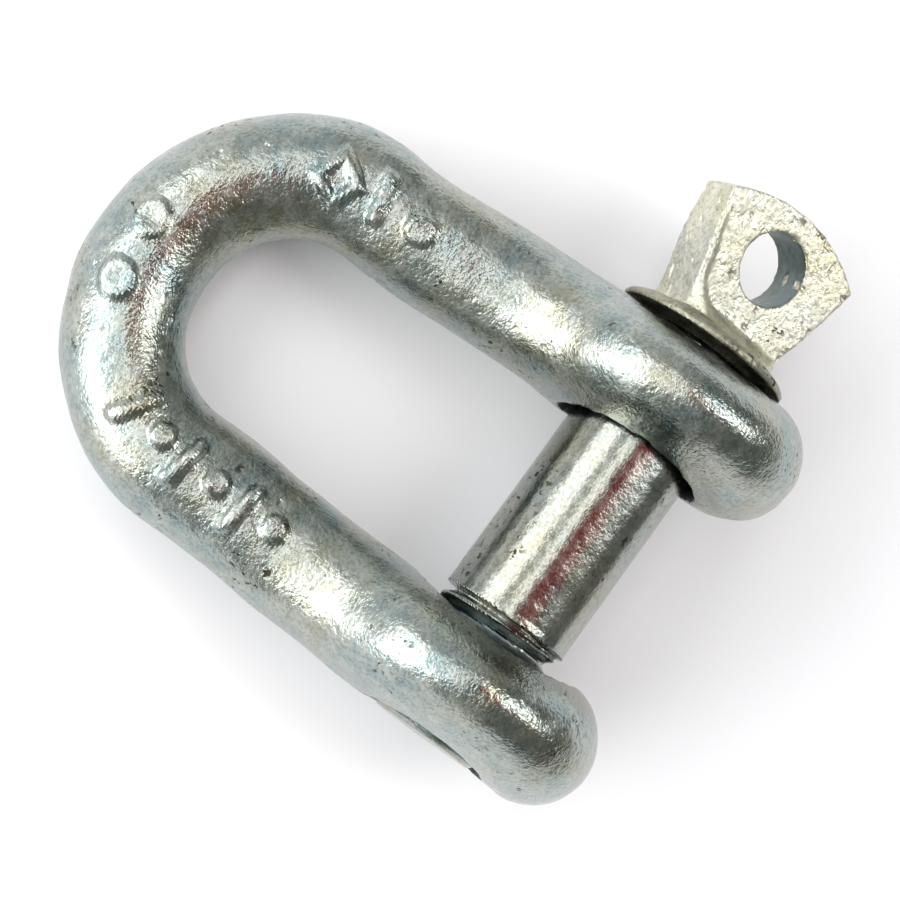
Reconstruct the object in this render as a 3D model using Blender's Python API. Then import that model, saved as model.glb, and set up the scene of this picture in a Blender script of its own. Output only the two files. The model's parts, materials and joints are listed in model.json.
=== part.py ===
"""A galvanised screw pin D shackle, lying on its side the way it comes to rest on a bench.

The shackle is a round bar bent to a D, whose ends swell into two eyes. A screw pin passes through the
eyes: a flat eye tab and a round collar at one end, a plain shank, a relief groove and a threaded tip.

Everything is drawn in the shackle's own plane: +X along the pin towards its head, +Y from the pin to
the crown of the bow, +Z square to the plane, with the pin's axis through zero. One empty then tips that
plane, so that both eyes and the crown touch z = 0, and puts the middle of the box over the origin.

The real pin is one forging. Its round shank only has to travel, while its tab and thread also have to
turn, so the shank, the tab and the threaded tip are separate solids, a hair's breadth apart.
"""

import math

import bmesh
import bpy
from mathutils import Vector

MM = 0.001

# driving dimensions, in millimetres
BAR_RADIUS = 5.0
PIN_TO_BOW = 27.2  # from the pin's axis to where the bow starts to curve
BOW_HALF_WIDTH = 13.05  # to the bar's centre line, where the bow starts
BOW_RISE = 12.45  # of the centre line, from the start of the curve to the crown
EYE_RADIUS = 12.4
EYE_CENTRE = 13.85  # from the middle of the jaw to the middle of an eye
EYE_HALF_THICKNESS = 5.2
SHANK_RADIUS = 5.5
CLEARANCE_HOLE_RADIUS = 6.5
COLLAR_RADIUS = 7.65
COLLAR_THICKNESS = 1.6
TAB_THICKNESS = 4.5
TAB_END_HALF_WIDTH = 7.35
TAB_EYE_RADIUS = 3.0
TAB_TURN = math.radians(24.3)  # how far the tab stands turned out of the shackle's plane
THREAD_LEAD = 1.75
THREAD_CREST_RADIUS = 5.4
THREAD_DEPTH = 0.95
THREAD_CREST_FLAT = 0.3
THREAD_CLEARANCE = 0.25  # between the pin's thread and the tapped one, on the radius
GAP = 0.3  # between pieces that would touch

# places along the pin's axis
SEAT = 18.72  # the spot face that the collar lands on
COLLAR_FROM = SEAT + GAP
COLLAR_TO = COLLAR_FROM + COLLAR_THICKNESS
SHOULDER = -7.7  # where the plain shank ends
GROOVE_FROM = SHOULDER - GAP
THREAD_FROM = GROOVE_FROM - 0.1
TIP = -18.6
TAB_FROM = COLLAR_TO + GAP
TAB_FLAT_FROM = TAB_FROM + 1.8  # the tab's neck tapers from the collar to here
TAB_EYE = 27.45
TAB_CORNER = 30.4
TAB_CROWN = 32.6

# secondary sizes
GROOVE_RADIUS = 4.5
SPOT_FACE_RADIUS = 8.2
COUNTERSINK_RADIUS = 7.5
COUNTERSINK_STRAIGHT = 1.2  # how deep its mouth goes before it narrows
NECK_HALF_WIDTH = 5.2
NECK_HALF_THICKNESS = 3.9
HEEL = 26.1  # below here the tab's lower edge stands further out than its upper edge
HEEL_HALF_WIDTH = 6.3
EYE_FILLET_RADIUS = 14.0  # of the hollow between an eye's round and its leg

# mesh fineness
BAR_SIDES = 28
THREAD_SIDES = 20
STEPS_PER_LEAD = 8
ROUND_SIDES = 40


def clear_scene():
    for thing in list(bpy.data.objects):
        bpy.data.objects.remove(thing, do_unlink=True)


def material(name, colour, roughness):
    """Bare zinc, told apart from piece to piece only by its shade."""
    made = bpy.data.materials.new(name)
    made.use_nodes = True
    shader = made.node_tree.nodes["Principled BSDF"]
    shader.inputs["Base Color"].default_value = (*colour, 1.0)
    shader.inputs["Metallic"].default_value = 1.0
    shader.inputs["Roughness"].default_value = roughness
    return made


def object_from(name, vertices, faces):
    """A mesh object from points in millimetres, smooth except at its real edges."""
    mesh = bpy.data.meshes.new(name)
    mesh.from_pydata([Vector(v) * MM for v in vertices], [], faces)
    mesh.validate()
    mesh.shade_smooth()
    mesh.set_sharp_from_angle(angle=math.radians(32))
    made = bpy.data.objects.new(name, mesh)
    bpy.context.collection.objects.link(made)
    return made


def skin(name, rings, first, last):
    """A closed skin over rings of points, brought to the points first and last at its ends."""
    count = len(rings[0])
    vertices = [point for ring in rings for point in ring] + [first, last]
    start, end = len(vertices) - 2, len(vertices) - 1
    faces = []
    for k in range(len(rings) - 1):
        here, there = k * count, (k + 1) * count
        for j in range(count):
            i = (j + 1) % count
            faces.append((here + j, here + i, there + i, there + j))
    final = (len(rings) - 1) * count
    for j in range(count):
        i = (j + 1) % count
        faces.append((start, i, j))
        faces.append((end, final + j, final + i))
    made = object_from(name, vertices, faces)
    face_outwards(made)
    return made


def face_outwards(thing):
    work = bmesh.new()
    work.from_mesh(thing.data)
    bmesh.ops.recalc_face_normals(work, faces=work.faces)
    work.to_mesh(thing.data)
    work.free()


def turned(name, profile, sides=ROUND_SIDES):
    """A solid of revolution about the pin's axis, from (place along the axis, radius) pairs."""
    rings = []
    for x, radius in profile:
        angles = [2 * math.pi * j / sides for j in range(sides)]
        rings.append([(x, radius * math.cos(a), radius * math.sin(a)) for a in angles])
    return skin(name, rings, (profile[0][0], 0, 0), (profile[-1][0], 0, 0))


def cut(thing, cutter):
    """Takes a cutter out of a piece, for good, and removes the cutter."""
    cutter.hide_render = True
    cutter.display_type = "WIRE"
    modifier = thing.modifiers.new("cut", "BOOLEAN")
    modifier.operation = "DIFFERENCE"
    modifier.object = cutter
    apply_modifiers(thing)
    bpy.data.objects.remove(cutter, do_unlink=True)


def apply_modifiers(thing):
    seen = thing.evaluated_get(bpy.context.evaluated_depsgraph_get())
    mesh = bpy.data.meshes.new_from_object(seen)
    thing.modifiers.clear()
    thing.data = mesh


def ease(t):
    """0 to 1 with no corner at either end."""
    t = min(max(t, 0.0), 1.0)
    return t * t * (3 - 2 * t)


# ---- the shackle body ----


def eye_height(y):
    """Half height of an eye at y: its round, then a fillet that runs out into the leg."""
    reach = EYE_RADIUS + EYE_FILLET_RADIUS
    fillet_middle = math.sqrt(reach**2 - (BAR_RADIUS + EYE_FILLET_RADIUS) ** 2)
    if y > fillet_middle:
        return BAR_RADIUS
    if y > fillet_middle * EYE_RADIUS / reach:
        hollow = math.sqrt(EYE_FILLET_RADIUS**2 - (fillet_middle - y) ** 2)
        return BAR_RADIUS + EYE_FILLET_RADIUS - hollow
    return math.sqrt(max(EYE_RADIUS**2 - y * y, 0.0))


def eye_section(y):
    """Half thickness along the pin and half height across the plane of an eye or leg, at y."""
    inner = EYE_RADIUS - EYE_HALF_THICKNESS
    swell = ease((16.0 - y) / 12.0)
    half_thickness = BAR_RADIUS + (EYE_HALF_THICKNESS - BAR_RADIUS) * swell
    if y < -inner:
        half_thickness = math.sqrt(max(EYE_HALF_THICKNESS**2 - (y + inner) ** 2, 0.0))
    return half_thickness, eye_height(y)


def leg_places():
    """Where the sections of a leg are, from the eye's end up to the bow."""
    inner = EYE_RADIUS - EYE_HALF_THICKNESS
    end = [-inner - EYE_HALF_THICKNESS * math.cos(math.radians(a)) for a in (10, 24, 40, 57, 74)]
    eye = [-inner + step * (inner + 6.5) / 8 for step in range(9)]
    neck = [7.8, 9.1, 10.4, 11.7, 13.2, 15.0, 17.4, 20.5, 24.0]
    return end + eye + neck


def leg_rings(side):
    """Elliptical sections of the leg on one side (-1 or +1), from its eye to the bow."""
    rings = []
    for y in leg_places():
        half_thickness, half_height = eye_section(y)
        lean = ease((y - 4.0) / (PIN_TO_BOW - 4.0))
        centre = side * (EYE_CENTRE + (BOW_HALF_WIDTH - EYE_CENTRE) * lean)
        rings.append(section((centre, y), (side, 0), half_thickness, half_height))
    return rings


def section(centre, outward, half_thickness, half_height):
    """One elliptical ring of points square to the plane, round a centre in it."""
    ring = []
    for j in range(BAR_SIDES):
        angle = 2 * math.pi * j / BAR_SIDES
        out = half_thickness * math.cos(angle)
        up = half_height * math.sin(angle)
        ring.append((centre[0] + out * outward[0], centre[1] + out * outward[1], up))
    return ring


def bow_rings(count=18):
    """Round sections over the bow, from the left leg to the right one."""
    rings = []
    for k in range(count + 1):
        angle = math.pi * (1 - k / count)
        centre = (BOW_HALF_WIDTH * math.cos(angle), PIN_TO_BOW + BOW_RISE * math.sin(angle))
        rings.append(section(centre, (math.cos(angle), math.sin(angle)), BAR_RADIUS, BAR_RADIUS))
    return rings


def shackle_body():
    """The whole bent bar with its two eyes, drilled, spot faced, countersunk and tapped."""
    rings = leg_rings(-1) + bow_rings() + leg_rings(1)[::-1]
    ends = [(side * EYE_CENTRE, -EYE_RADIUS, 0) for side in (-1, 1)]
    body = skin("shackle_body", rings, ends[0], ends[1])
    drill = turned("drill", [(4.0, CLEARANCE_HOLE_RADIUS), (SEAT + 3, CLEARANCE_HOLE_RADIUS)])
    cut(body, drill)
    cut(body, turned("spot_face", [(SEAT, SPOT_FACE_RADIUS), (SEAT + 3, SPOT_FACE_RADIUS)]))
    cut(body, threaded("tap", tapped_radius, -EYE_CENTRE - EYE_HALF_THICKNESS - 1, SHOULDER + 2))
    return body


# ---- the thread, pin's and tapped ----


def thread_radius(x, angle):
    """A right-hand thread with flanks at 60 degrees: turning about +X moves it along +X."""
    turns = x / THREAD_LEAD - angle / (2 * math.pi)
    from_crest = abs(turns - round(turns)) * THREAD_LEAD - THREAD_CREST_FLAT / 2
    flank = THREAD_DEPTH * math.tan(math.radians(30))
    return THREAD_CREST_RADIUS - THREAD_DEPTH * min(max(from_crest / flank, 0.0), 1.0)


def pin_thread_radius(x, angle):
    """The pin's thread, run out into the relief groove and chamfered at the tip."""
    groove = GROOVE_RADIUS + max(THREAD_FROM - x, 0.0) * 2.5
    chamfer = THREAD_CREST_RADIUS - 1.0 + (x - TIP)
    return min(max(thread_radius(x, angle), GROOVE_RADIUS), groove, chamfer)


def tapped_radius(x, angle):
    """The tapped hole, opened by a countersink towards the jaw and a chamfer outside."""
    jaw_face = -EYE_CENTRE + EYE_HALF_THICKNESS
    outer_face = -EYE_CENTRE - EYE_HALF_THICKNESS
    countersink = COUNTERSINK_RADIUS + min((x - jaw_face + COUNTERSINK_STRAIGHT) * 0.8, 0.0)
    outer_chamfer = min(THREAD_CREST_RADIUS + 0.8 - (x - outer_face), THREAD_CREST_RADIUS + 0.8)
    return max(thread_radius(x, angle) + THREAD_CLEARANCE, countersink, outer_chamfer)


def threaded(name, radius_at, low, high):
    """A rod about the pin's axis whose radius follows a rule of place and angle."""
    step = THREAD_LEAD / STEPS_PER_LEAD
    count = math.ceil((high - low) / step)
    rings = []
    for k in range(count + 1):
        x = min(low + k * step, high)
        ring = []
        for j in range(THREAD_SIDES):
            angle = 2 * math.pi * j / THREAD_SIDES
            radius = radius_at(x, angle)
            ring.append((x, radius * math.cos(angle), radius * math.sin(angle)))
        rings.append(ring)
    return skin(name, rings, (low, 0, 0), (high, 0, 0))


# ---- the screw pin ----


def pin_shank():
    """The plain round of the pin with its shoulder and its collar, all turned about one axis."""
    shoulder = [(SHOULDER, SHANK_RADIUS - 0.3), (SHOULDER + 0.3, SHANK_RADIUS)]
    fillet = [(COLLAR_FROM - 0.6, SHANK_RADIUS), (COLLAR_FROM, SHANK_RADIUS + 0.5)]
    rim = [
        (COLLAR_FROM, COLLAR_RADIUS - 0.3),
        (COLLAR_FROM + 0.3, COLLAR_RADIUS),
        (COLLAR_TO - 0.8, COLLAR_RADIUS),
        (COLLAR_TO - 0.35, COLLAR_RADIUS - 0.4),
        (COLLAR_TO, NECK_HALF_WIDTH),
    ]
    return turned("pin_shank", shoulder + fillet + rim)


def pin_thread():
    """The threaded tip with the root of the relief groove behind it."""
    return threaded("pin_thread", pin_thread_radius, TIP, GROOVE_FROM)


def prism(name, outline, half_depth, place):
    """An outline carried square to itself both ways. place turns (a, b, depth) into a point."""
    count = len(outline)
    front = [place(a, b, half_depth) for a, b in outline]
    back = [place(a, b, -half_depth) for a, b in outline]
    faces = [tuple(range(count)), tuple(reversed(range(count, 2 * count)))]
    for j in range(count):
        i = (j + 1) % count
        faces.append((j, count + j, count + i, i))
    made = object_from(name, front + back, faces)
    face_outwards(made)
    return made


def tab_outline():
    """The fan of the tab, from its neck round its bowed end, as (along the pin, across) pairs."""
    rise = TAB_CROWN - TAB_CORNER
    radius = (TAB_END_HALF_WIDTH**2 + rise**2) / (2 * rise)
    spread = math.asin(TAB_END_HALF_WIDTH / radius)
    end = []
    for k in range(11):
        angle = spread * (1 - k / 5)
        end.append((TAB_CROWN - radius + radius * math.cos(angle), radius * math.sin(angle)))
    lower = [(HEEL, -HEEL_HALF_WIDTH), (TAB_FROM, -HEEL_HALF_WIDTH + 0.4)]
    return [(TAB_FROM, NECK_HALF_WIDTH)] + end + lower


def pin_eye():
    """The flat eye tab: its fan outline crossed with its tapered side view, and pierced."""
    tab = prism("pin_eye", tab_outline(), 6.0, lambda a, b, depth: (a, b, depth))
    half = TAB_THICKNESS / 2
    side = [(TAB_FROM, NECK_HALF_THICKNESS), (TAB_FLAT_FROM, half), (TAB_CROWN + 2, half)]
    side_view = side + [(x, -across) for x, across in reversed(side)]
    crossing = prism("side_view", side_view, 12.0, lambda a, b, depth: (a, depth, b))
    modifier = tab.modifiers.new("cross", "BOOLEAN")
    modifier.operation = "INTERSECT"
    modifier.object = crossing
    apply_modifiers(tab)
    bpy.data.objects.remove(crossing, do_unlink=True)
    sides = 28
    angles = [2 * math.pi * j / sides for j in range(sides)]
    ring = [(TAB_EYE + TAB_EYE_RADIUS * math.cos(a), TAB_EYE_RADIUS * math.sin(a)) for a in angles]
    cut(tab, prism("eye_punch", ring, 8.0, lambda a, b, depth: (a, b, depth)))
    tab.data.shade_flat()
    tab.rotation_euler = (TAB_TURN, 0, 0)
    return tab


# ---- putting it together ----


def empty(name, parent=None):
    made = bpy.data.objects.new(name, None)
    made.empty_display_size = 8 * MM
    bpy.context.collection.objects.link(made)
    made.parent = parent
    return made


def rest_frame():
    """The attitude in which both eyes and the crown of the bow touch the ground."""
    crown = PIN_TO_BOW + BOW_RISE
    tilt = math.asin((EYE_RADIUS - BAR_RADIUS) / crown)
    far_side = crown * math.cos(tilt) + BAR_RADIUS
    middle_x = (TAB_CROWN - EYE_CENTRE - EYE_HALF_THICKNESS) / 2
    middle_y = (far_side - EYE_RADIUS) / 2
    frame = empty("shackle_plane")
    frame.rotation_euler = (-tilt, 0, 0)
    frame.location = (-middle_x * MM, -middle_y * MM, EYE_RADIUS * MM)
    return frame


def main():
    clear_scene()
    plane = rest_frame()
    slide = empty("pin_travel_axis", plane)
    screw = empty("pin_turn_axis", slide)
    pieces = [
        (shackle_body(), plane, material("galvanised_forging", (0.56, 0.58, 0.57), 0.42)),
        (pin_shank(), slide, material("galvanised_turned", (0.60, 0.61, 0.58), 0.30)),
        (pin_eye(), screw, material("galvanised_tab", (0.66, 0.66, 0.62), 0.38)),
        (pin_thread(), screw, material("galvanised_thread", (0.50, 0.52, 0.50), 0.40)),
    ]
    for piece, parent, finish in pieces:
        piece.parent = parent
        piece.data.materials.clear()
        piece.data.materials.append(finish)
    bpy.context.view_layer.update()


main()
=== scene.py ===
# %% [markdown]
# # A galvanised screw pin D shackle
#
# A shackle is the link that a rigger puts between a chain, a rope eye and a fitting. This one is a round
# steel bar, forged hot, bent to a D and flattened into two eyes, with a pin that screws through both. Both
# pieces were dipped in molten zinc, which gives the lumpy, sparkling grey skin. The pin is one forging: a
# flat tab to turn it by, a collar, a plain shank and a threaded end.
#
# Here each forging is one mesh. The lesson is how to get a forged, dipped surface from real geometry first,
# and from the material only where the marks are finer than a quarter of a millimetre.

# %% Load the frame
import itertools
import json
import math

import bmesh
import bpy
import numpy as np
from mathutils import Matrix, Vector

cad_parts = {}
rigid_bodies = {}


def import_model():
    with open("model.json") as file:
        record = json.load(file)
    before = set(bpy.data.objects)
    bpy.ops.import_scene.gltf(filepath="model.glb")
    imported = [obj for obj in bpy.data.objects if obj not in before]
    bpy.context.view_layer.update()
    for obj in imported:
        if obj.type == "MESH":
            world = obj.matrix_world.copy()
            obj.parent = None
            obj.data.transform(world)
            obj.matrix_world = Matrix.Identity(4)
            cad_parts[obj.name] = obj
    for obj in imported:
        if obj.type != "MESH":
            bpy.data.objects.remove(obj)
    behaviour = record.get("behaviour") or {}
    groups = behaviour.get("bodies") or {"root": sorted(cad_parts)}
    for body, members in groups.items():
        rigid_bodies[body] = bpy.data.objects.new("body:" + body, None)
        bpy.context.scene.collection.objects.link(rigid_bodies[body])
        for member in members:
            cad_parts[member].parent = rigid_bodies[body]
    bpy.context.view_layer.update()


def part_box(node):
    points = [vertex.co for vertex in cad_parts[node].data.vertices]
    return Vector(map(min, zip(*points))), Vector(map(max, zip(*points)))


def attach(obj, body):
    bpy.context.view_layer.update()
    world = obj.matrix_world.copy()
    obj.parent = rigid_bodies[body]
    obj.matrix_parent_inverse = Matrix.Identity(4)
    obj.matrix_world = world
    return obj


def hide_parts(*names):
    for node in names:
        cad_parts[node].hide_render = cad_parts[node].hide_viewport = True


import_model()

# %% [markdown]
# The shackle lies on a table with both eyes and the crown of the bow touching it, so its plane is tipped by
# about eleven degrees. All the drawing happens in the flat plane of the D, in millimetres: x along the pin
# towards its head, y from the pin to the crown, z square to the plane. One function then lays points down on
# the table. Points could be typed in the scene's own axes instead, but in the plane of the D a leg is a
# straight line and the pin is the x axis. The pin's place comes from the box of its shank in the frame.

# %% The plane of the D
BAR_RADIUS = 5.0
EYE_RADIUS = 12.4
PIN_TO_BOW = 27.2  # from the pin's axis to where the legs end and the bow starts
BOW_RISE = 12.45  # from there to the middle of the bar at the crown
SHOULDER = -7.7  # where the pin's plain shank ends

pin_low, pin_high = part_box("pin_shank")
pin_axis = (np.array(pin_low) + np.array(pin_high)) / 2
TILT = math.asin((EYE_RADIUS - BAR_RADIUS) / (PIN_TO_BOW + BOW_RISE))
jaw_middle = pin_low[0] - SHOULDER * 0.001


def to_world(points):
    """Lays points, in millimetres in the plane of the D, down on the table, in metres."""
    x, y, z = points.T * 0.001
    laid_y = y * math.cos(TILT) + z * math.sin(TILT)
    laid_z = z * math.cos(TILT) - y * math.sin(TILT)
    return np.stack([x + jaw_middle, laid_y + pin_axis[1], laid_z + pin_axis[2]], axis=1)


print("plane tipped by %.2f degrees, pin %.2f mm above the table" % (math.degrees(TILT), pin_axis[2] * 1000))

# %% [markdown]
# The camera comes first, because every later choice is judged through it. It looks almost straight down from
# the bow's side, through a longish lens, and is rolled so that the D lies aslant in the frame. A constraint
# could aim it, but three angles and a distance say the same thing in numbers that can be changed one by one.

# %% Camera
target = Vector((-0.006364, -0.004044, 0.0124))
azimuth, elevation, roll = (math.radians(a) for a in (114.80, 75.11, -102.05))
towards_eye = Vector((
    math.cos(elevation) * math.cos(azimuth),
    math.cos(elevation) * math.sin(azimuth),
    math.sin(elevation),
))
level_up = (Vector((0, 0, 1)) - towards_eye * towards_eye.z).normalized()
level_right = level_up.cross(towards_eye)
up = level_up * math.cos(roll) + level_right * math.sin(roll)
right = up.cross(towards_eye)

camera = bpy.data.objects.new("camera", bpy.data.cameras.new("camera"))
bpy.context.collection.objects.link(camera)
camera.matrix_world = Matrix.Translation(target + towards_eye * 0.22707) @ (
    Matrix((right, up, towards_eye)).transposed().to_4x4()
)
camera.data.lens = 115.75
camera.data.sensor_width = 36.0
camera.data.clip_start = 0.01
camera.data.dof.use_dof = False
bpy.context.scene.camera = camera
print("camera at", [round(v, 4) for v in camera.matrix_world.translation])

# %% [markdown]
# A few small tools come first. One eases a value from 0 to 1 without a corner. One makes an object out of
# points and faces. The others read or write all the points of a mesh at once, because one long array is many
# times faster than a loop over a hundred thousand points.

# %% Tools for points and faces


def ease(t):
    t = np.clip(t, 0.0, 1.0)
    return t * t * (3 - 2 * t)


def object_from(name, points, faces):
    mesh = bpy.data.meshes.new(name)
    mesh.from_pydata(np.asarray(points, dtype=float).tolist(), [], faces)
    work = bmesh.new()
    work.from_mesh(mesh)
    bmesh.ops.recalc_face_normals(work, faces=work.faces)
    work.to_mesh(mesh)
    work.free()
    mesh.shade_smooth()
    made = bpy.data.objects.new(name, mesh)
    bpy.context.collection.objects.link(made)
    return made


def points_of(thing):
    points = np.empty(len(thing.data.vertices) * 3)
    thing.data.vertices.foreach_get("co", points)
    return points.reshape(-1, 3)


def normals_of(thing):
    normals = np.empty(len(thing.data.vertices) * 3)
    thing.data.vertex_normals.foreach_get("vector", normals)
    return normals.reshape(-1, 3)


def move_points(thing, points):
    thing.data.vertices.foreach_set("co", points.ravel())
    thing.data.update()


print("ease turns 0.1, 0.5 and 0.9 into", np.round(ease(np.array([0.1, 0.5, 0.9])), 3))

# %% [markdown]
# No forged or dipped skin is even, so the surface needs soft random lumps of a chosen size. A displace
# modifier with a noise texture could give them. Written out as a rule instead, the noise can be masked,
# stretched along the bar and added up in layers. It is the same on every run, because each corner of an
# unseen grid gets its height from its own number.

# %% Soft lumps


def lumps(points, size, seed):
    """Soft noise from -1 to 1, whose lumps are about size millimetres across."""
    place = points / size + 200.0
    cell = np.floor(place).astype(np.int64)
    part = ease(place - cell)
    total = np.zeros(len(points))
    for corner in itertools.product((0, 1), repeat=3):
        i, j, k = (cell + corner).T
        mixed = (i * 73856093) ^ (j * 19349663) ^ (k * 83492791) ^ (seed * 26544357)
        mixed = ((mixed ^ (mixed >> 13)) * 1274126177) & 0xFFFFFFFF
        mixed = ((mixed ^ (mixed >> 15)) * 668265263) & 0xFFFFFFFF
        height = mixed / 2.0**31 - 1.0
        weight = np.prod(np.where(np.array(corner) == 1, part, 1 - part), axis=1)
        total += height * weight
    return total


tried = lumps(np.linspace(0, 30, 900).reshape(-1, 3), 2.0, 1)
print("lumps two millimetres wide run from %.2f to %.2f" % (tried.min(), tried.max()))

# %% [markdown]
# The body starts as one bar. A curve with a round bevel is the quick way to draw a bar, but it keeps one
# section, and this bar turns into an oval at each eye. So rings of points run from one eye, over the bow, to
# the other, and a skin is drawn over them.

# %% A skin over rings


def skin(name, rings, first, last):
    """A closed skin over rings of points, drawn together at its two ends."""
    count = len(rings[0])
    points = [point for ring in rings for point in ring] + [first, last]
    faces = []
    for k in range(len(rings) - 1):
        here, there = k * count, (k + 1) * count
        for j in range(count):
            i = (j + 1) % count
            faces.append((here + j, there + j, there + i, here + i))
    final = (len(rings) - 1) * count
    for j in range(count):
        i = (j + 1) % count
        faces.append((len(points) - 2, j, i))
        faces.append((len(points) - 1, final + i, final + j))
    return object_from(name, points, faces)


# %% [markdown]
# A forging die makes the eyes flat ovals that melt into the round legs, so each ring is an ellipse. Its
# height across the plane grows through a fillet into the eye's circle, and its thickness along the pin
# rounds off at the eye's end. The legs also lean in a little from the eyes to the bow.

# %% Sections of an eye and a leg
BOW_HALF_WIDTH = 13.05
EYE_CENTRE = 13.85
EYE_HALF_THICKNESS = 5.2


def eye_height(y, fillet=14.0):
    """Half height of an eye: its round, then a fillet that runs out into the leg."""
    reach = EYE_RADIUS + fillet
    middle = math.sqrt(reach**2 - (BAR_RADIUS + fillet) ** 2)
    if y > middle:
        return BAR_RADIUS
    if y > middle * EYE_RADIUS / reach:
        return BAR_RADIUS + fillet - math.sqrt(fillet**2 - (middle - y) ** 2)
    return math.sqrt(max(EYE_RADIUS**2 - y * y, 0.0))


def eye_section(y):
    """Half thickness along the pin and half height across the plane, at y."""
    inner = EYE_RADIUS - EYE_HALF_THICKNESS
    swell = float(ease((16.0 - y) / 12.0))
    half_thickness = BAR_RADIUS + (EYE_HALF_THICKNESS - BAR_RADIUS) * swell
    if y < -inner:
        half_thickness = math.sqrt(max(EYE_HALF_THICKNESS**2 - (y + inner) ** 2, 0.0))
    return half_thickness, eye_height(y)


def leg_centre(y):
    return EYE_CENTRE + (BOW_HALF_WIDTH - EYE_CENTRE) * ease((y - 4.0) / (PIN_TO_BOW - 4.0))


print("half thickness and half height of an eye at the pin:", eye_section(0.0))

# %% [markdown]
# Now the rings are laid along the D, up one leg, round the bow and down the other. They stand about a third
# of a millimetre apart, far closer than the shape needs, so that the drill has small, even faces to cut.

# %% The bar before it is drilled


def section(centre, outward, half_thickness, half_height, count=112):
    angles = 2 * math.pi * np.arange(count) / count
    out, up_from = half_thickness * np.cos(angles), half_height * np.sin(angles)
    return np.stack([centre[0] + out * outward[0], centre[1] + out * outward[1], up_from], axis=1)


def leg_rings(side):
    inner = EYE_RADIUS - EYE_HALF_THICKNESS
    end = [-inner - EYE_HALF_THICKNESS * math.cos(math.radians(a)) for a in range(3, 90, 3)]
    places = end + list(np.arange(-inner, PIN_TO_BOW, 0.3))
    rings = []
    for y in places:
        half_thickness, half_height = eye_section(y)
        rings.append(section((side * leg_centre(y), y), (side, 0), half_thickness, half_height))
    return rings


def bow_rings(count=130):
    rings = []
    for k in range(count + 1):
        angle = math.pi * (1 - k / count)
        centre = (BOW_HALF_WIDTH * math.cos(angle), PIN_TO_BOW + BOW_RISE * math.sin(angle))
        rings.append(section(centre, (math.cos(angle), math.sin(angle)), BAR_RADIUS, BAR_RADIUS))
    return rings


rings = leg_rings(-1) + bow_rings() + leg_rings(1)[::-1]
shackle = skin("shackle_forging", rings, (-EYE_CENTRE, -EYE_RADIUS, 0), (EYE_CENTRE, -EYE_RADIUS, 0))
print("bar:", len(rings), "rings,", len(shackle.data.vertices), "points")

# %% [markdown]
# The pin's end and the hole it screws into share one thread. A screw modifier can sweep a thread's profile,
# but its two ends then have to be closed by hand before it can be cut into anything. Here the thread is a
# rule: its radius depends on both the place along the axis and the angle round it, which is all a thread is.

# %% The thread
THREAD_LEAD = 1.75
THREAD_RADIUS = 5.4
THREAD_DEPTH = 0.95
THREAD_CREST_FLAT = 0.3


def thread_radius(x, angle):
    """A right-hand thread with flanks at 60 degrees."""
    turns = x / THREAD_LEAD - angle / (2 * math.pi)
    from_crest = np.abs(turns - np.round(turns)) * THREAD_LEAD - THREAD_CREST_FLAT / 2
    flank = THREAD_DEPTH * 0.577
    return THREAD_RADIUS - THREAD_DEPTH * np.clip(from_crest / flank, 0.0, 1.0)


print("crest and root radius:", thread_radius(0.0, 0.0), thread_radius(THREAD_LEAD / 2, 0.0))

# %% [markdown]
# Everything turned on a lathe, and every cutter too, is a rod whose radius follows a rule like that one. A
# boolean takes a cutter out of the bar, as the drill does. It is applied at once, so that each step starts
# from plain faces and the cutter doesn't linger in the scene.

# %% Turned rods and cuts


def turned(name, places, radius_at, count=96):
    """A rod about the pin's axis whose radius follows a rule of place and angle."""
    angles = 2 * math.pi * np.arange(count) / count
    rings = []
    for x in places:
        radius = radius_at(x, angles) * np.ones(count)
        rings.append(np.stack([np.full(count, x), radius * np.cos(angles), radius * np.sin(angles)], axis=1))
    return skin(name, rings, (places[0], 0, 0), (places[-1], 0, 0))


def apply_modifiers(thing):
    seen = thing.evaluated_get(bpy.context.evaluated_depsgraph_get())
    mesh = bpy.data.meshes.new_from_object(seen)
    thing.modifiers.clear()
    thing.data = mesh


def combine(thing, other, operation):
    """Cuts, crosses or joins two closed solids for good, and drops the second one."""
    modifier = thing.modifiers.new("combine", "BOOLEAN")
    modifier.operation = operation
    modifier.object = other
    apply_modifiers(thing)
    bpy.data.objects.remove(other, do_unlink=True)


# %% [markdown]
# The eyes are machined after forging. One is drilled clear of the pin and faced flat where the collar lands.
# The other is tapped. Its mouth is countersunk towards the jaw, and its outer end has a small chamfer.

# %% Drill, spot face and tap
HOLE_RADIUS = 6.5
SPOT_FACE_RADIUS = 8.2
SEAT = 18.72
COUNTERSINK_RADIUS = 7.5
COUNTERSINK_STRAIGHT = 1.2  # how deep its mouth goes before it narrows
TAPPED_END_RADIUS = 5.8  # of the small chamfer on the outside of the tapped eye
THREAD_CLEARANCE = 0.25


def tapped_radius(x, angle):
    jaw_face = -EYE_CENTRE + EYE_HALF_THICKNESS
    outer_face = -EYE_CENTRE - EYE_HALF_THICKNESS
    countersink = COUNTERSINK_RADIUS + min((x - jaw_face + COUNTERSINK_STRAIGHT) * 0.8, 0.0)
    outer_chamfer = TAPPED_END_RADIUS - max(x - outer_face, 0.0)
    return np.maximum(thread_radius(x, angle) + THREAD_CLEARANCE, max(countersink, outer_chamfer))


combine(shackle, turned("drill", [4.0, 24.0], lambda x, angle: HOLE_RADIUS), "DIFFERENCE")
combine(shackle, turned("spot_face", [SEAT, 24.0], lambda x, angle: SPOT_FACE_RADIUS), "DIFFERENCE")
combine(shackle, turned("tap", np.arange(-20.5, -5.5, 0.11), tapped_radius), "DIFFERENCE")
print("drilled body:", len(shackle.data.polygons), "faces")

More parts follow.
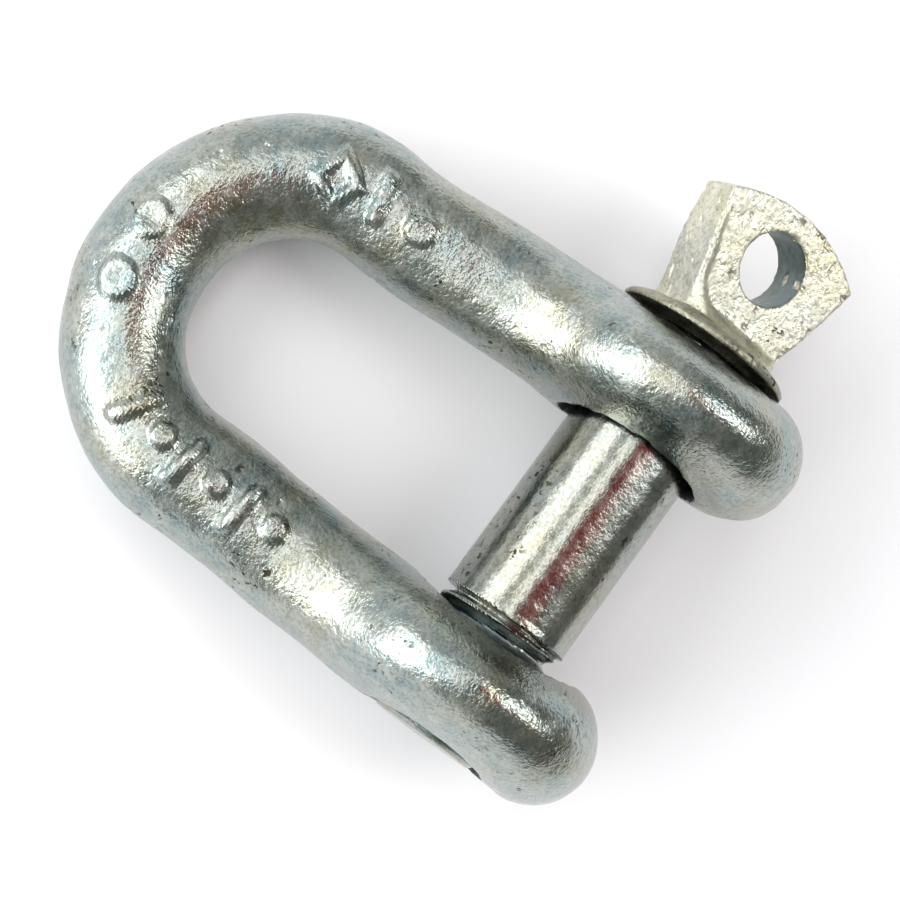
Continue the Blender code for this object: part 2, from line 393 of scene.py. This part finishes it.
# %% [markdown]
# A real forging has no knife edge, least of all after dipping, because the molten zinc rounds every rim. A
# bevel modifier would need clean loops of edges, which a boolean doesn't leave. Remeshing the solid into even
# squares about a quarter of a millimetre wide, and then relaxing the points a few times, does the same thing
# and leaves an even skin that can take fine relief.

# %% Remesh and soften


def remesh(thing, size):
    modifier = thing.modifiers.new("remesh", "REMESH")
    modifier.mode = "VOXEL"
    modifier.voxel_size = size
    apply_modifiers(thing)


def soften(thing, rounds, share=1.0):
    """Moves each point towards the mean of its neighbours. share may differ from point to point."""
    edges = np.empty(len(thing.data.edges) * 2, dtype=np.int32)
    thing.data.edges.foreach_get("vertices", edges)
    a, b = edges.reshape(-1, 2).T
    points = points_of(thing)
    count = np.bincount(a, minlength=len(points)) + np.bincount(b, minlength=len(points))
    share = np.broadcast_to(share, len(points))[:, None]
    for _ in range(rounds):
        total = np.zeros_like(points)
        for axis in range(3):
            total[:, axis] = np.bincount(a, points[b, axis], len(points))
            total[:, axis] += np.bincount(b, points[a, axis], len(points))
        points = points + (total / count[:, None] - points) * 0.6 * share
    move_points(thing, points)


remesh(shackle, 0.27)
soften(shackle, 4)
print("even skin:", len(shackle.data.vertices), "points")

# %% [markdown]
# Every point now needs an address on the bar: how far along it lies from the crown, and how far round it
# from the top. The legs are straight and the bow is nearly a circle, so both come from simple geometry. The
# raised marks and the seam left by the two halves of the die are placed with these addresses, much as a
# texture is placed with a UV map.

# %% Addresses on the bar
BOW_RADIUS = (BOW_HALF_WIDTH + BOW_RISE) / 2


def address(points):
    """Distance along the bar from the crown, and round it from its upper side towards the inside."""
    x, y, z = points.T
    bow = y > PIN_TO_BOW
    side = np.sign(x)
    angle = np.arctan2(y - PIN_TO_BOW, x)
    from_middle = np.hypot(x, y - PIN_TO_BOW)
    outward = np.where(bow, from_middle - BOW_RADIUS, np.abs(x) - leg_centre(y))
    on_bow = (math.pi / 2 - angle) * BOW_RADIUS
    on_leg = side * (math.pi / 2 * BOW_RADIUS + PIN_TO_BOW - y)
    round_bar = (np.arctan2(z, outward) - math.pi / 2) * BAR_RADIUS
    return np.where(bow, on_bow, on_leg), round_bar


points = points_of(shackle)
along, across = address(points)
print("the bar is %.0f mm long, eye to eye" % (along.max() - along.min()))

# %% [markdown]
# A maker's die raises its figures on the bar. Here the raised marks are plain bars, dots and a lozenge with
# no meaning. Each is a low ridge with soft shoulders, because zinc pools round it. They could be separate
# pieces joined on, but lifting the skin's own points keeps one closed skin with no hidden faces.

# %% Raised marks
LOWER_LEG = [(-14.0, -0.2), (-17.0, 0.3), (-19.6, 0.0), (-22.6, 0.4), (-25.2, 0.0), (-28.2, 0.4)]
UPPER_LEG = [(16.0, 0.2), (19.8, 0.0), (23.6, 0.5)]
BOW = [(-4.2, -1.0), (0.8, -1.0)]


def stroke(a, b, half_length, half_width):
    """How far inside a straight round-ended stroke each place is, in millimetres."""
    beyond = np.maximum(np.abs(b) - half_length, 0.0)
    return half_width - np.hypot(a, beyond)


def raised(depth_inside, height):
    return height * ease((depth_inside + 0.3) / 0.72)


marks = np.zeros(len(points))
for number, (place, middle) in enumerate(LOWER_LEG):
    a, b = along - place, across - middle
    shape = stroke(a + b * 0.15, b, 1.8, 0.60) if number % 2 == 0 else stroke(a, b, 0.0, 1.05)
    marks = np.maximum(marks, raised(shape, 0.55))
for number, (place, middle) in enumerate(UPPER_LEG):
    a, b = along - place, across - middle
    lozenge = 0.5 - np.abs(np.abs(a) * 0.75 + np.abs(b) * 0.62 - 1.25)
    shape = (lozenge, stroke(a - b * 0.2, b, 1.8, 0.60), stroke(a, b, 0.0, 1.3))[number]
    marks = np.maximum(marks, raised(shape, 0.50))
for place, middle in BOW:
    dot = stroke(along - place, across - middle, 0.0, 1.6)
    marks = np.maximum(marks, raised(dot, 0.48) - 0.16 * ease(dot / 1.2 - 0.2))
marks *= 0.85 + 0.3 * lumps(points, 1.1, 5)
print("raised marks stand up to %.2f mm high" % marks.max())

# %% [markdown]
# The skin itself has three scales of relief. Hammering and scale leave shallow waves several millimetres
# long. The zinc leaves runs and dimples about a millimetre across. Rust pits and caught ash leave small
# sharp dents. A thin seam runs round the middle of the bar, where the flash was trimmed. All of it fades
# inside the holes, which were machined. Bump in the material could fake most of this, but real relief also
# breaks the outline and catches the light from every side.

# %% The forged skin
radius_from_pin = np.hypot(points[:, 1], points[:, 2])
forged = np.where(np.abs(points[:, 0]) > 7.0, ease((radius_from_pin - 6.9) / 1.2), 1.0)
waves = 0.20 * lumps(points, 8.0, 11) + 0.08 * lumps(points, 3.6, 12) + 0.03 * lumps(points, 1.8, 18)
drawn = np.stack([along * 0.3, across, points[:, 2] * 0.2], axis=1)
rough_zone = 0.35 + 0.65 * ease(lumps(points, 6.0, 19) * 1.6 + 0.4)
dimples = (0.022 * lumps(drawn, 0.9, 13) + 0.014 * lumps(points, 0.6, 14)) * rough_zone
pits = -0.11 * ease((lumps(points, 0.9, 15) - 0.62) / 0.25) * ease(lumps(points, 5.0, 16) * 2.0)
seam = 0.10 * np.exp(-(points[:, 2] / 0.45) ** 2) * (0.6 + 0.6 * lumps(points, 4.0, 17))
relief = (waves + dimples + pits + seam) * forged + marks - 0.03
move_points(shackle, to_world(points + normals_of(shackle) * relief[:, None]))
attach(shackle, "forged_body")
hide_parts("shackle_body")
print("relief from %.2f to %.2f mm" % (relief.min(), relief.max()))

# %% [markdown]
# The pin is turned on a lathe from the tip to the collar, so one rule gives its radius everywhere: thread,
# relief groove, plain shank and the low cone of the collar. The shoulder beside the groove stays sharp, and
# flares a trifle, where the cutting tool pushed up a burr. A lathe outline could be spun by hand just as
# well, apart from the thread, whose radius changes round the axis too.

# %% The round of the pin
SHANK_RADIUS = 5.5
COLLAR_UNDER = 19.02
COLLAR_TOP = 20.5
GROOVE_FROM = -7.95
GROOVE_RADIUS = 4.6
THREAD_END = -18.9
COLLAR = [(18.3, SHANK_RADIUS), (18.75, 5.65), (COLLAR_UNDER, 6.2), (19.03, 7.4), (19.2, 7.64),
          (19.65, 7.66), (19.95, 7.35), (20.2, 6.6), (20.4, 5.6), (COLLAR_TOP, 3.0)]


def pin_radius(x, angle):
    if x < SHOULDER:
        groove = GROOVE_RADIUS + max(GROOVE_FROM - x, 0.0) * 2.5
        chamfer = THREAD_RADIUS - 1.0 + (x - THREAD_END)
        return np.minimum(np.maximum(thread_radius(x, angle), 4.5), min(groove, chamfer))
    flare = 0.08 * math.exp(-(x - SHOULDER) / 0.35)
    collar_places, collar_radii = zip(*COLLAR)
    return float(np.interp(x, collar_places, collar_radii, left=SHANK_RADIUS)) + flare


places = list(np.arange(THREAD_END, SHOULDER, 0.1)) + [SHOULDER - 0.001, SHOULDER]
places += list(np.arange(SHOULDER + 0.1, COLLAR_TOP, 0.1))
pin = turned("pin_forging", places, pin_radius, 128)
print("pin: %.1f mm from tip to collar" % (COLLAR_UNDER - THREAD_END))

# %% [markdown]
# The tab is flattened in a die. Its outline is a fan with a bowed end. Its flat face stops at a step with a
# round corner, below which the metal thickens quickly into the neck, and a low ridge of squeezed metal runs
# up one side. It could be sculpted, but then the step would move with every other change. So the tab is a
# slab whose thickness is a rule of place, which is then crossed with its fan outline, and pierced.

# %% A slab with the tab's thickness
TAB_FROM = 20.1
TAB_HALF_THICKNESS = 2.25


def tab_half_thickness(x, across_tab, corner_x=24.8, corner_across=2.1, corner_radius=3.0):
    """Half the flat's thickness, and more beyond the edge of the flat, up to the neck or the ridge."""
    beside = across_tab - corner_across - 0.4 * np.maximum(x - corner_x, 0.0)
    from_flat = np.hypot(np.maximum(corner_x - x, 0.0), np.maximum(beside, 0.0)) - corner_radius
    neck = np.sqrt(np.maximum(5.7**2 - across_tab**2, 0.0)) - TAB_HALF_THICKNESS
    ridge = 0.4 * ease((30.0 - x) / 5.0)
    return TAB_HALF_THICKNESS + np.clip(from_flat * 1.7, 0.0, np.maximum(neck, ridge))


def slab(name):
    """A plate wider than the tab, with the tab's rule of thickness on both faces."""
    along_tab, across_tab = np.arange(TAB_FROM, 34.2, 0.2), np.arange(-8.6, 8.7, 0.2)
    grid_x, grid_across = np.meshgrid(along_tab, across_tab, indexing="ij")
    half = tab_half_thickness(grid_x, grid_across)
    top = np.stack([grid_x, grid_across, half], axis=-1).reshape(-1, 3)
    bottom = np.stack([grid_x, grid_across, -half], axis=-1).reshape(-1, 3)
    rows, columns = len(along_tab), len(across_tab)
    under = rows * columns
    faces = []
    for i in range(rows - 1):
        for j in range(columns - 1):
            a, b = i * columns + j, (i + 1) * columns + j
            faces.append((a, b, b + 1, a + 1))
            faces.append((under + a, under + a + 1, under + b + 1, under + b))
    border = [i * columns for i in range(rows)] + [under - columns + j for j in range(1, columns)]
    border += [i * columns + columns - 1 for i in range(rows - 2, -1, -1)]
    border += list(range(columns - 2, 0, -1))
    for here, there in zip(border, border[1:] + border[:1]):
        faces.append((there, here, under + here, under + there))
    return object_from(name, np.concatenate([top, bottom]), faces)


print("half the tab's thickness on the flat and in the neck:", tab_half_thickness(28.0, 0.0),
      round(float(tab_half_thickness(21.0, 0.0)), 2))

# %% [markdown]
# The fan and the punch for its eye are both prisms: an outline pushed straight through. The bowed end is an
# arc, so its radius follows from how wide it is and how far it rises.

# %% The fan and its eye
TAB_CROWN = 32.6
TAB_CROWN_RISE = 2.2
TAB_END_HALF_WIDTH = 7.35
TAB_EYE = 27.45
TAB_EYE_RADIUS = 3.0
TAB_TURN = math.radians(24.3)  # how far the tab stands turned out of the plane of the D


def prism(name, outline, depth):
    count = len(outline)
    points = [(a, b, depth) for a, b in outline] + [(a, b, -depth) for a, b in outline]
    faces = [tuple(range(count)), tuple(reversed(range(count, 2 * count)))]
    for j in range(count):
        i = (j + 1) % count
        faces.append((j, count + j, count + i, i))
    return object_from(name, points, faces)


def ring_outline(middle, radius, count):
    angles = -2 * math.pi * np.arange(count) / count
    return [(middle + radius * math.cos(a), radius * math.sin(a)) for a in angles]


crown_radius = (TAB_END_HALF_WIDTH**2 + TAB_CROWN_RISE**2) / (2 * TAB_CROWN_RISE)
half_sweep = math.asin(TAB_END_HALF_WIDTH / crown_radius)
crown = [(TAB_CROWN - crown_radius + crown_radius * math.cos(a), crown_radius * math.sin(a))
         for a in np.linspace(half_sweep, -half_sweep, 25)]
flank = [(TAB_FROM, 5.0), (21.6, 5.15), (22.9, 5.5), (25.0, 6.15), (27.4, 6.75)]
fan = flank + crown + [(x, -across) for x, across in reversed(flank)]
tab = prism("tab", fan, 7.0)
combine(tab, slab("slab"), "INTERSECT")
combine(tab, prism("punch", ring_outline(TAB_EYE, TAB_EYE_RADIUS, 64), 8.0), "DIFFERENCE")
turn = Matrix.Rotation(TAB_TURN, 3, "X")
move_points(tab, points_of(tab) @ np.array(turn).T)
print("tab:", len(tab.data.polygons), "faces")

# %% [markdown]
# Round and tab are one forging. A boolean union would leave a hard line where they meet, so they are joined
# and remeshed together into one skin. The dipped tab and collar lose their edges more than the shank, which
# is wiped clean, and the shank's points are then set back on their true radius.

# %% One pin
bpy.ops.object.select_all(action="DESELECT")
tab.select_set(True)
pin.select_set(True)
bpy.context.view_layer.objects.active = pin
bpy.ops.object.join()
remesh(pin, 0.178)
points = points_of(pin)
head = ease((points[:, 0] - 18.9) / 0.8)
soften(pin, 3, 0.25 + 0.75 * head)

points = points_of(pin)
radius = np.hypot(points[:, 1], points[:, 2])
plain = (points[:, 0] > SHOULDER + 0.5) & (points[:, 0] < 18.2)
points[plain, 1:] *= (SHANK_RADIUS / radius[plain])[:, None]
move_points(pin, points)
print("pin skin:", len(points), "points")

# %% [markdown]
# A fine granular skin stands on the tab, where the zinc froze undisturbed, and only a trace of it on the
# shank, which was spun clean. The layers are the same as on the body, but finer, because the piece is smaller
# and was turned or pressed rather than hammered.

# %% The pin's skin
head = ease((points[:, 0] - 18.9) / 1.6)
granules = 0.022 * lumps(points, 0.75, 21) + 0.016 * lumps(points, 0.42, 22)
waves = 0.06 * lumps(points, 3.5, 23) - 0.03
dents = -0.10 * ease((lumps(points, 0.8, 24) - 0.66) / 0.2)
wiped = 0.012 * lumps(points, 2.2, 25) + 0.008 * lumps(points, 0.6, 26)
relief = head * (granules + waves + dents) + (1 - head) * wiped
move_points(pin, to_world(points + normals_of(pin) * relief[:, None]))
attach(pin, "screw_pin")
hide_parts("pin_shank", "pin_eye", "pin_thread")
print("the pin's relief runs from %.2f to %.2f mm" % (relief.min(), relief.max()))

# %% [markdown]
# A material is a small tree of nodes. One function adds a node with its settings and its links, so that the
# recipes further down read like sums. Colours are written as sRGB hex, the way a colour picker shows them,
# and are turned to the linear values that light adds up in.

# %% Tools for materials


def node(tree, kind, inputs=(), **settings):
    """Adds a node with its own settings and its inputs, each a value or another node's output."""
    made = tree.nodes.new(kind)
    for name, value in settings.items():
        setattr(made, name, value)
    for socket, value in dict(inputs).items():
        if isinstance(value, bpy.types.NodeSocket):
            tree.links.new(value, made.inputs[socket])
        else:
            made.inputs[socket].default_value = value
    return made


def linear(colour):
    """An sRGB hex colour as linear red, green, blue and one."""
    parts = [int(colour[k:k + 2], 16) / 255 for k in (1, 3, 5)]
    return tuple(c / 12.92 if c <= 0.04045 else ((c + 0.055) / 1.055) ** 2.4 for c in parts) + (1.0,)


print("middle grey #808080 is", [round(c, 3) for c in linear("#808080")])

# %% [markdown]
# Nearly every finish here is zinc, so they share one recipe with different numbers. Hot-dipped zinc freezes
# in crystals: each patch tilts a little, and the eye sees patches of lighter and darker grey with sparkling
# points. Where the bath was cooler the grey leans to blue, and where it oxidised it leans to straw. Pores
# hold dark dirt, which is dull. Pattern sizes below are real sizes in millimetres. An image texture could
# hold all this, but noise worked out in space needs no unwrapping and shows no seam on a closed skin.

# %% Zinc


def zinc(name, smooth, dull, relief, dirt, speckle, cool, warm, light, seed):
    """Zinc between two roughnesses, with relief in mm and three colours for its clouds and crystals."""
    made = bpy.data.materials.new(name)
    made.use_nodes = True
    tree = made.node_tree
    shader = tree.nodes["Principled BSDF"]
    shader.inputs["Metallic"].default_value = 1.0
    place = node(tree, "ShaderNodeTexCoord").outputs["Object"]
    shifted = node(tree, "ShaderNodeVectorMath", {0: place, 1: (seed, seed * 0.7, 0.0)}).outputs[0]

    def noise(size, detail=2.0, rough=0.5):
        inputs = {"Vector": shifted, "Scale": 1000 / size, "Detail": detail, "Roughness": rough}
        return node(tree, "ShaderNodeTexNoise", inputs).outputs["Fac"]

    def spread(value, low, high, to_low=0.0, to_high=1.0):
        inputs = {"Value": value, "From Min": low, "From Max": high, "To Min": to_low, "To Max": to_high}
        return node(tree, "ShaderNodeMapRange", inputs, interpolation_type="SMOOTHSTEP").outputs["Result"]

    def mix(factor, first, second):
        inputs = {0: factor, 6: first, 7: second}
        return node(tree, "ShaderNodeMix", inputs, data_type="RGBA").outputs[2]

    clouds, mottle, grain = noise(6.0, 2.0), noise(1.6, 3.0, 0.6), noise(0.32, 2.0, 0.6)
    cool = mix(spread(clouds, 0.38, 0.66), linear(cool), linear(warm))
    grey = mix(spread(mottle, 0.30, 0.72), cool, linear(light))
    grey = mix(spread(grain, 0.36, 0.54, speckle, 0.0), grey, linear("#4a4c46"))
    patches = spread(noise(4.2, 3.0), 0.52, 0.68)
    pores = spread(noise(0.62, 2.0, 0.6), 0.70 - dirt, 0.74 - dirt)
    grime = node(tree, "ShaderNodeMath", {0: patches, 1: pores}, operation="MULTIPLY").outputs[0]
    tree.links.new(mix(grime, grey, linear("#3c3a30")), shader.inputs["Base Color"])
    worn = spread(mottle, 0.30, 0.70, smooth, dull)
    rough = node(tree, "ShaderNodeMath", {0: grime, 1: 0.3, 2: worn}, operation="MULTIPLY_ADD").outputs[0]
    tree.links.new(rough, shader.inputs["Roughness"])
    broad = node(tree, "ShaderNodeBump", {"Height": mottle, "Distance": relief * 0.001})
    fine = node(tree, "ShaderNodeBump", {
        "Height": grain, "Distance": relief * 0.0007, "Normal": broad.outputs["Normal"]})
    tree.links.new(fine.outputs["Normal"], shader.inputs["Normal"])
    return made


# %% [markdown]
# Clean zinc is a fairly smooth metal, and what roughens it is how each part was made and used. The forging
# was left as dipped, the shank was spun clean, the tab holds thick zinc and the collar rubs. The thread
# inside the eye and the holes hardly see light, and their finishes are painted darker: painted shade. Each
# part has its own finish, and the eye can tell the parts apart.

# %% Six finishes
# Forged and left as dipped: crystals and hammer texture scatter the light widely.
dipped_forging = zinc("hot_dip_zinc_on_forging", 0.14, 0.30, 0.09, 0.10, 0.3,
                      "#8b9b9b", "#a09f8d", "#aeb3ac", 0.31)
# Turned steel spun clean after the bath: a thin even coat, so light stays in a clear band along the shank.
wiped_shank = zinc("thin_zinc_on_turned_shank", 0.15, 0.24, 0.03, 0.10, 0.3,
                   "#8f9794", "#979585", "#a4a69e", 0.57)
# Pressed tab left thick with zinc: coarse grains, so its face glitters instead of mirroring.
grainy_tab = zinc("thick_zinc_on_pressed_tab", 0.32, 0.50, 0.09, 0.11, 0.28,
                  "#c6c7bc", "#ccc8aa", "#dedccc", 0.83)
# The collar and the neck rub against the bar, and hold old oil: the same coat, darker and straw-coloured.
rubbed_collar = zinc("oil_stained_zinc_on_collar", 0.28, 0.48, 0.10, 0.14, 0.4,
                     "#8c8f86", "#948f74", "#aaa996", 0.66)
# The holes, the tap's mouth and the spot face are painted near black and dull: painted shade for the deep
# shadow inside them.
painted_shade_in_holes = zinc("steel_in_holes_painted_shade", 0.35, 0.6, 0.08, 0.08, 0.2,
                  "#2e3534", "#2c2a22", "#3c4240", 0.11)
# The thread, where it sits inside the eye, and the wall of the tab's own eye are painted a darker, bluish
# zinc: painted shade for these recesses.
dull_thread_painted_shade = zinc("dull_zinc_on_thread_painted_shade", 0.28, 0.45, 0.03, 0.08, 0.2,
                   "#5c7074", "#6a7068", "#7c8a8a", 0.42)
print("finishes:", len([dipped_forging, wiped_shank, grainy_tab, rubbed_collar, painted_shade_in_holes, dull_thread_painted_shade]))

# %% [markdown]
# Each face takes its finish from where it lies in the plane of the D. Picking faces by hand would work once,
# but a rule of place and radius still holds after a size is changed or the skin is remeshed.

# %% Which face has which finish


def finish_faces(thing, finishes, choose):
    """Gives a piece its finishes. choose says which one each face takes, from its place and radius."""
    thing.data.materials.clear()
    for finish in finishes:
        thing.data.materials.append(finish)
    middles = np.empty(len(thing.data.polygons) * 3)
    thing.data.polygons.foreach_get("center", middles)
    x, y, z = middles.reshape(-1, 3).T
    x, y, z = (x - jaw_middle) * 1000, (y - pin_axis[1]) * 1000, (z - pin_axis[2]) * 1000
    y, z = y * math.cos(TILT) - z * math.sin(TILT), z * math.cos(TILT) + y * math.sin(TILT)
    thing.data.polygons.foreach_set("material_index", choose(x, y, z).astype(np.int32))
    thing.data.update()


def painted_shade_on_body(x, y, z):
    # The faces chosen here take the painted shade: the tapped eye's bore and mouth, the drilled bore and the
    # spot face.
    radius = np.hypot(y, z)
    bored = np.where(x < -EYE_CENTRE, TAPPED_END_RADIUS + 0.05, COUNTERSINK_RADIUS - 0.05)
    tapped = (x < 0) & (radius < bored)
    drilled = (x > 0) & (radius < HOLE_RADIUS + 0.2)
    faced = (x > SEAT - 0.15) & (radius < SPOT_FACE_RADIUS + 0.1)
    return tapped | drilled | faced


def pin_finish(x, y, z):
    across_tab = y * math.cos(TAB_TURN) + z * math.sin(TAB_TURN)
    in_tab_eye = np.hypot(x - TAB_EYE, across_tab) < TAB_EYE_RADIUS + 0.08
    # Finish 2 is painted shade, on the thread inside the eye and on the wall of the tab's eye.
    places = [in_tab_eye, x < THREAD_END + 0.3, x < -9.2, x > 20.55, x > 18.7]
    return np.select(places, [2, 0, 2, 1, 3], 0)  # places in the list of finishes; the shank is 0


finish_faces(shackle, [dipped_forging, painted_shade_in_holes], painted_shade_on_body)
finish_faces(pin, [wiped_shank, grainy_tab, dull_thread_painted_shade, rubbed_collar], pin_finish)
print("materials:", [m.name for piece in (shackle, pin) for m in piece.data.materials])

# %% [markdown]
# The floor is a plain pale sheet of matt paper, wide enough that no edge of it is seen or reflected.

# %% Floor
floor = object_from("floor", [(-2, -2, 0), (2, -2, 0), (2, 2, 0), (-2, 2, 0)], [(0, 1, 2, 3)])
paper = bpy.data.materials.new("pale_paper")
paper.use_nodes = True
paper.node_tree.nodes["Principled BSDF"].inputs["Base Color"].default_value = linear("#f9f9fc")
paper.node_tree.nodes["Principled BSDF"].inputs["Roughness"].default_value = 0.9
floor.data.materials.append(paper)
print("floor:", [round(size, 1) for size in floor.dimensions])

# %% [markdown]
# The light is that of a product table: a long soft box leans in from the bow's side and a second hangs
# overhead, which draw the two bright bands along every bar. A narrow one on the right lights the ends of the
# eyes, and a small low one on the left lifts the bow's outside. Spot lamps would be simpler, but metal
# mirrors its lamps, and a small lamp gives a hard dot where a wide box gives a soft band.

# %% Soft boxes


def soft_box(name, direction, distance, width, height, radiance):
    """An area light that faces the shackle. width runs along x, and radiance is what the eye would see."""
    light = bpy.data.lights.new(name, "AREA")
    light.shape = "RECTANGLE"
    light.size, light.size_y = width, height
    light.energy = radiance * math.pi * width * height
    made = bpy.data.objects.new(name, light)
    bpy.context.collection.objects.link(made)
    back = Vector(direction).normalized()
    across = Vector((1, 0, 0))
    along_y = back.cross(across).normalized()
    turned_to = Matrix((along_y.cross(back), along_y, back)).transposed().to_4x4()
    made.matrix_world = Matrix.Translation(target + back * distance) @ turned_to


soft_box("leaning_soft_box", (-0.58, 1.52, 1.0), 0.6, 0.90, 0.38, 2.7)
soft_box("overhead_soft_box", (-0.10, 0.34, 1.0), 0.62, 0.85, 0.15, 2.3)
soft_box("right_soft_box", (0.47, -0.62, 1.0), 0.6, 0.24, 0.42, 4.2)
soft_box("left_soft_box", (-0.90, 0.90, 0.30), 0.45, 0.34, 0.30, 2.8)
print("soft boxes:", len(bpy.data.lights))

# %% [markdown]
# The room is dimmer than the boxes, because bare metal only looks like metal when it has something bright and
# something dark to reflect. It is darker on the eyes' side than on the bow's. A reddish card overhead gives
# the warm streak that such a room leaves along a polished round.

# %% Room
world = bpy.data.worlds.new("dim_room")
bpy.context.scene.world = world
world.use_nodes = True
room = world.node_tree
direction = node(room, "ShaderNodeTexCoord").outputs["Generated"]
parts = node(room, "ShaderNodeSeparateXYZ", {0: direction}).outputs
shade = node(room, "ShaderNodeMapRange", {"Value": parts["Y"], "From Min": -0.45, "From Max": 0.60},
             interpolation_type="SMOOTHSTEP").outputs["Result"]
shade = node(room, "ShaderNodeMix", {0: shade, 6: linear("#82837e"), 7: linear("#eceeee")},
             data_type="RGBA").outputs[2]
card = 1.0
for axis, middle, reach in (("X", 0.14, 0.18), ("Y", -0.17, 0.30)):
    lean = node(room, "ShaderNodeMath", {0: parts[axis], 1: parts["Z"]}, operation="DIVIDE").outputs[0]
    off = node(room, "ShaderNodeMath", {0: lean, 1: middle, 2: reach}, operation="COMPARE").outputs[0]
    card = node(room, "ShaderNodeMath", {0: off, 1: card}, operation="MULTIPLY").outputs[0]
above = node(room, "ShaderNodeMath", {0: parts["Z"], 1: 0.0}, operation="GREATER_THAN").outputs[0]
card = node(room, "ShaderNodeMath", {0: above, 1: card}, operation="MULTIPLY").outputs[0]
walls = node(room, "ShaderNodeMix", {0: card, 6: shade, 7: linear("#a8322e")},
             data_type="RGBA").outputs[2]
room.links.new(walls, room.nodes["Background"].inputs["Color"])
room.nodes["Background"].inputs["Strength"].default_value = 1.0

bpy.context.scene.view_settings.view_transform = "Standard"
bpy.context.scene.view_settings.look = "None"
print("room nodes:", len(room.nodes))
